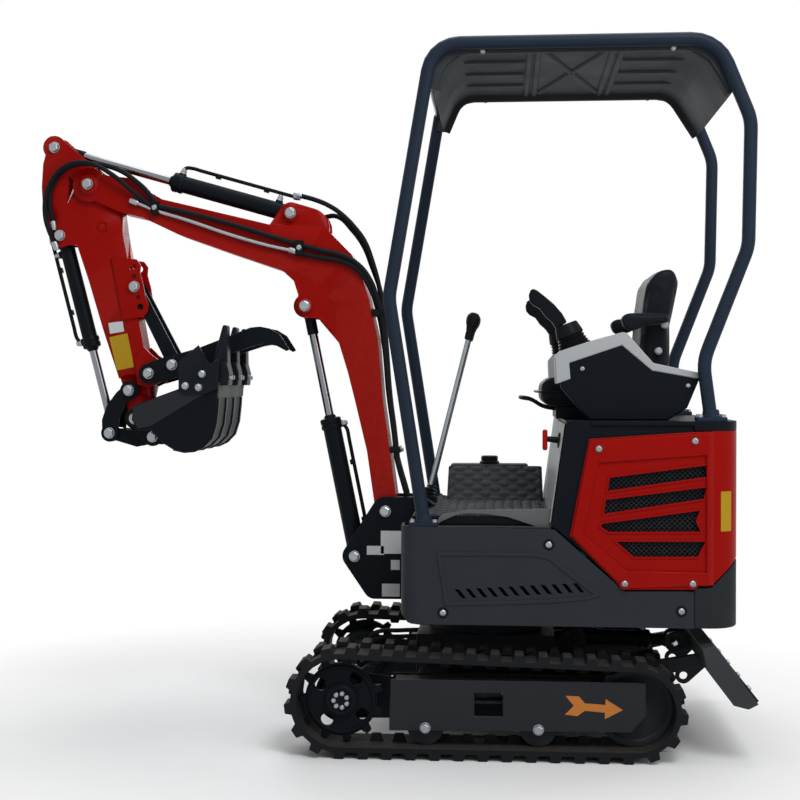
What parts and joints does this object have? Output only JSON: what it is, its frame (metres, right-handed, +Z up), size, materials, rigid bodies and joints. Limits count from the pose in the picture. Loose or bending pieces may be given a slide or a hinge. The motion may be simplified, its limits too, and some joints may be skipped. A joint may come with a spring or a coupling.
{
  "type": "mini excavator",
  "caption": "Small tracked excavator with a canopy, seat and levers, a hydraulic boom, arm and bucket, a fixed thumb and a rear dozer blade",
  "frame": {"origin": "middle of the box on the ground, under the machine", "axes": "+X the way the boom points, +Y the operator's left, +Z up"},
  "size_m": [2.3594, 0.93, 2.244],
  "materials": {
    "rubber": "moulded rubber",
    "dark_paint": "dark grey satin paint",
    "cast_grey": "cast, painted",
    "black_paint": "black satin paint",
    "red_paint": "red gloss paint",
    "black_plastic": "grained moulded plastic",
    "seat_cover": "black vinyl",
    "chrome_rod": "hard chrome",
    "tooth_steel": "dark forged steel"
  },
  "bodies": {
    "undercarriage": {"track_left": "rubber", "track_right": "rubber", "track_frame_left": "dark_paint", "track_frame_right": "dark_paint", "sprocket_left": "dark_paint", "sprocket_right": "dark_paint", "idler_left": "dark_paint", "idler_right": "dark_paint", "rollers_left": "dark_paint", "rollers_right": "dark_paint", "travel_motors": "cast_grey", "centre_frame": "dark_paint", "slew_ring": "cast_grey"},
    "blade_group": {"blade": "dark_paint"},
    "blade_barrel_group": {"blade_barrel": "black_paint"},
    "blade_rod_group": {"blade_rod": "chrome_rod"},
    "house": {"house_frame": "dark_paint", "boom_bracket": "black_paint", "side_panel_left": "dark_paint", "side_panel_right": "dark_paint", "hood_left": "red_paint", "hood_right": "red_paint", "hood_rear": "red_paint", "grille_left": "black_paint", "grille_right": "black_paint", "counterweight": "cast_grey", "engine_block": "cast_grey", "deck": "black_paint", "floor_mat": "rubber", "right_tank": "black_paint", "seat_base": "black_paint", "seat_cushion": "seat_cover", "seat_back": "seat_cover", "armrest_left": "black_plastic", "armrest_right": "black_plastic", "console_left": "black_plastic", "console_right": "black_plastic", "joystick_left": "black_plastic", "joystick_right": "black_plastic", "travel_levers": "black_paint", "canopy_left": "black_paint", "canopy_right": "black_paint", "canopy_bars": "black_paint", "canopy_roof": "black_plastic"},
    "boom_group": {"boom": "red_paint"},
    "boom_barrel_group": {"boom_barrel": "black_paint"},
    "boom_rod_group": {"boom_rod": "chrome_rod"},
    "arm_barrel_group": {"arm_barrel": "black_paint"},
    "arm_rod_group": {"arm_rod": "chrome_rod"},
    "arm_group": {"arm": "red_paint", "thumb_bracket": "red_paint", "thumb": "black_paint"},
    "bucket_barrel_group": {"bucket_barrel": "black_paint"},
    "bucket_rod_group": {"bucket_rod": "chrome_rod"},
    "rocker_group": {"rocker": "black_paint"},
    "link_group": {"bucket_link": "black_paint"},
    "bucket_group": {"bucket": "black_paint", "bucket_teeth": "tooth_steel"}
  },
  "joints": [
    {"name": "slew", "type": "hinge", "parent": "undercarriage", "child": "house", "pos_m": [-0.3435, 0, 0], "axis": [0, 0, 1], "continuous": true},
    {"name": "boom_lift", "type": "hinge", "parent": "house", "child": "boom_group", "pos_m": [-0.0075, 0, 0.736], "axis": [0, -1, 0], "range_deg": [-85, 10]},
    {"name": "boom_barrel_tilt", "type": "hinge", "parent": "house", "child": "boom_barrel_group", "pos_m": [0.0965, 0, 0.584], "axis": [0, -1, 0], "range_deg": [-81.79, 9.89]},
    {"name": "boom_rod_slide", "type": "slide", "parent": "boom_barrel_group", "child": "boom_rod_group", "axis": [0.1977, 0, 0.9803], "range_m": [-0.2487, 0.031]},
    {"name": "arm_crowd", "type": "hinge", "parent": "boom_group", "child": "arm_group", "pos_m": [1.0095, 0, 1.843], "axis": [0, 1, 0], "range_deg": [-100, 0]},
    {"name": "arm_barrel_tilt", "type": "hinge", "parent": "boom_group", "child": "arm_barrel_group", "pos_m": [0.3175, 0, 1.742], "axis": [0, 1, 0], "range_deg": [-8.69, 0.3]},
    {"name": "arm_rod_slide", "type": "slide", "parent": "arm_barrel_group", "child": "arm_rod_group", "axis": [0.9618, 0, 0.2736], "range_m": [-0.2673, 0.002]},
    {"name": "bucket_curl", "type": "hinge", "parent": "arm_group", "child": "bucket_group", "pos_m": [0.8505, 0, 1.045], "axis": [0, 1, 0], "range_deg": [-160, 0]},
    {"name": "rocker_turn", "type": "hinge", "parent": "arm_group", "child": "rocker_group", "pos_m": [0.8745, 0, 1.141], "axis": [0, 1, 0], "range_deg": [-86.53, 0.3]},
    {"name": "link_turn", "type": "hinge", "parent": "bucket_group", "child": "link_group", "pos_m": [0.7905, 0, 0.983], "axis": [0, 1, 0], "range_deg": [-0.3, 104.26]},
    {"name": "bucket_barrel_tilt", "type": "hinge", "parent": "arm_group", "child": "bucket_barrel_group", "pos_m": [1.1165, 0, 1.673], "axis": [0, 1, 0], "range_deg": [-6.64, 0.3]},
    {"name": "bucket_rod_slide", "type": "slide", "parent": "bucket_barrel_group", "child": "bucket_rod_group", "axis": [-0.2472, 0, -0.969], "range_m": [-0.2154, 0.002]},
    {"name": "blade_lift", "type": "hinge", "parent": "undercarriage", "child": "blade_group", "pos_m": [-0.6435, 0, 0.2], "axis": [0, 1, 0], "range_deg": [-38, 3]},
    {"name": "blade_barrel_tilt", "type": "hinge", "parent": "undercarriage", "child": "blade_barrel_group", "pos_m": [-0.6435, 0, 0.31], "axis": [0, 1, 0], "range_deg": [-35.11, 3.05]},
    {"name": "blade_rod_slide", "type": "slide", "parent": "blade_barrel_group", "child": "blade_rod_group", "axis": [-0.9995, 0, -0.0303], "range_m": [-0.0074, 0.071]}
  ],
  "couplings": [
    {"joint": "boom_barrel_tilt", "follows": "boom_lift", "ratio": 0.95874},
    {"joint": "boom_rod_slide", "follows": "boom_lift", "m_per_rad": 0.16629},
    {"joint": "arm_barrel_tilt", "follows": "arm_crowd", "ratio": 0.083905},
    {"joint": "arm_rod_slide", "follows": "arm_crowd", "m_per_rad": 0.15202},
    {"joint": "rocker_turn", "follows": "bucket_curl", "ratio": 0.53892},
    {"joint": "link_turn", "follows": "bucket_curl", "ratio": -0.64976},
    {"joint": "bucket_barrel_tilt", "follows": "bucket_curl", "ratio": 0.039614},
    {"joint": "bucket_rod_slide", "follows": "bucket_curl", "m_per_rad": 0.076418},
    {"joint": "blade_barrel_tilt", "follows": "blade_lift", "ratio": 0.91608},
    {"joint": "blade_rod_slide", "follows": "blade_lift", "m_per_rad": -0.10407}
  ]
}
